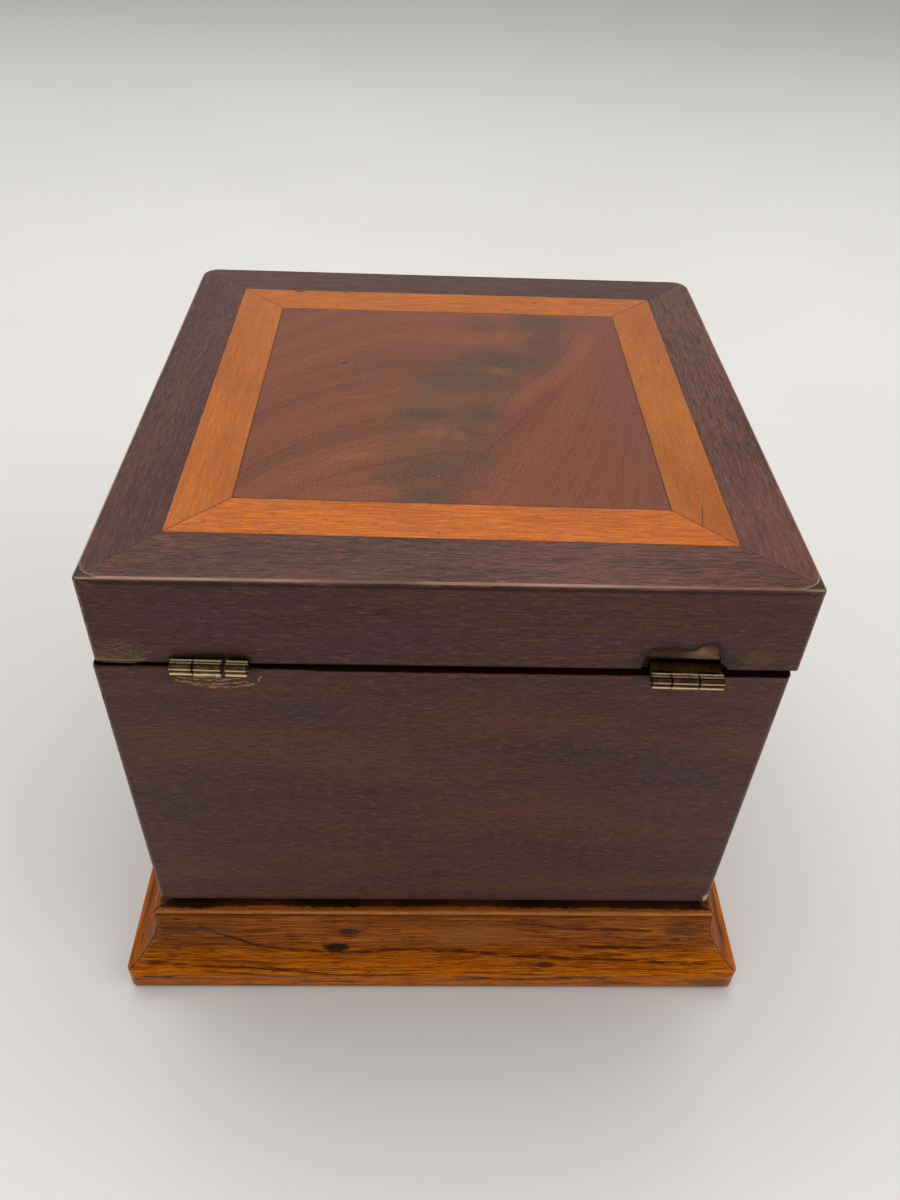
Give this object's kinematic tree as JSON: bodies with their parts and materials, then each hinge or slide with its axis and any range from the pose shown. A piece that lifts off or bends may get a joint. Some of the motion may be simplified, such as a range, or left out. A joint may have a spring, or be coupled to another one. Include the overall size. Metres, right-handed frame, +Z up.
{
  "type": "tea caddy",
  "caption": "Square wooden tea caddy on a coved plinth, with an inlaid hinged lid, a keyed lock and a loose inner lid over a foil-lined tea compartment.",
  "frame": {"origin": "centre of the plinth's footprint, on the surface the caddy stands on", "axes": "+Z up; -Y out of the front with the keyhole; +Y out of the back with the hinges; +X to the right as seen from the front"},
  "size_m": [0.1436, 0.1436, 0.1181],
  "materials": {
    "plinth_wood": "golden-brown, french polished, satin",
    "carcase_wood": "plain planed wood",
    "dark_base_wood": "stained dark, matt",
    "mahogany_veneer": "dark mahogany veneer, french polished",
    "border_mahogany": "dark mahogany crossbanding, french polished",
    "satinwood": "satinwood banding, french polished",
    "flame_mahogany": "flame-figured mahogany, french polished",
    "lining_wood": "plain mahogany, waxed",
    "knob_wood": "turned and ebonised, polished",
    "foil": "dull grey foil, crumpled",
    "lock_brass": "aged, dull",
    "hinge_brass": "aged, tarnished",
    "screw_brass": "aged",
    "lock_steel": "dark old steel"
  },
  "bodies": {
    "case": {"plinth_front": "plinth_wood", "plinth_right": "plinth_wood", "plinth_back": "plinth_wood", "plinth_left": "plinth_wood", "glue_blocks": "carcase_wood", "base_board": "dark_base_wood", "case_wall_front": "carcase_wood", "case_wall_right": "carcase_wood", "case_wall_back": "carcase_wood", "case_wall_left": "carcase_wood", "case_veneer_front": "mahogany_veneer", "case_veneer_right": "mahogany_veneer", "case_veneer_back": "mahogany_veneer", "case_veneer_left": "mahogany_veneer", "lining_front": "lining_wood", "lining_right": "lining_wood", "lining_back": "lining_wood", "lining_left": "lining_wood", "foil_lining": "foil", "escutcheon": "lock_brass", "lock_plate": "lock_brass", "lock_cap": "lock_brass", "lock_spring": "lock_steel", "lock_drill_pin": "lock_steel", "lock_screws": "screw_brass", "hinge_left_case_leaf": "hinge_brass", "hinge_left_pin": "lock_steel", "hinge_right_case_leaf": "hinge_brass", "hinge_right_pin": "lock_steel", "hinge_case_screws": "screw_brass"},
    "lid": {"lid_top_board": "carcase_wood", "lid_wall_front": "carcase_wood", "lid_wall_right": "carcase_wood", "lid_wall_back": "carcase_wood", "lid_wall_left": "carcase_wood", "lid_veneer_front": "mahogany_veneer", "lid_veneer_right": "mahogany_veneer", "lid_veneer_back": "mahogany_veneer", "lid_veneer_left": "mahogany_veneer", "lid_border_front": "border_mahogany", "lid_border_right": "border_mahogany", "lid_border_back": "border_mahogany", "lid_border_left": "border_mahogany", "lid_band_front": "satinwood", "lid_band_right": "satinwood", "lid_band_back": "satinwood", "lid_band_left": "satinwood", "lid_centre_panel": "flame_mahogany", "link_plate": "lock_brass", "link_plate_screws": "screw_brass", "hinge_left_lid_leaf": "hinge_brass", "hinge_right_lid_leaf": "hinge_brass", "hinge_lid_screws": "screw_brass"},
    "bolt": {"lock_bolt": "lock_brass"},
    "inner_lid": {"inner_lid_panel": "lining_wood", "inner_lid_knob": "knob_wood"}
  },
  "joints": [
    {"name": "lid_hinge", "type": "hinge", "parent": "case", "child": "lid", "pos_m": [-0.00055, 0.06452, 0.0986], "axis": [-0.9998, 0.0171, -0.0035], "range_deg": [0, 105]},
    {"name": "bolt_slide", "type": "slide", "parent": "case", "child": "bolt", "axis": [1, 0, 0], "range_m": [0, 0.004]},
    {"name": "inner_lid_lift", "type": "slide", "parent": "case", "child": "inner_lid", "axis": [0, 0, 1], "range_m": [0, 0.017]}
  ]
}
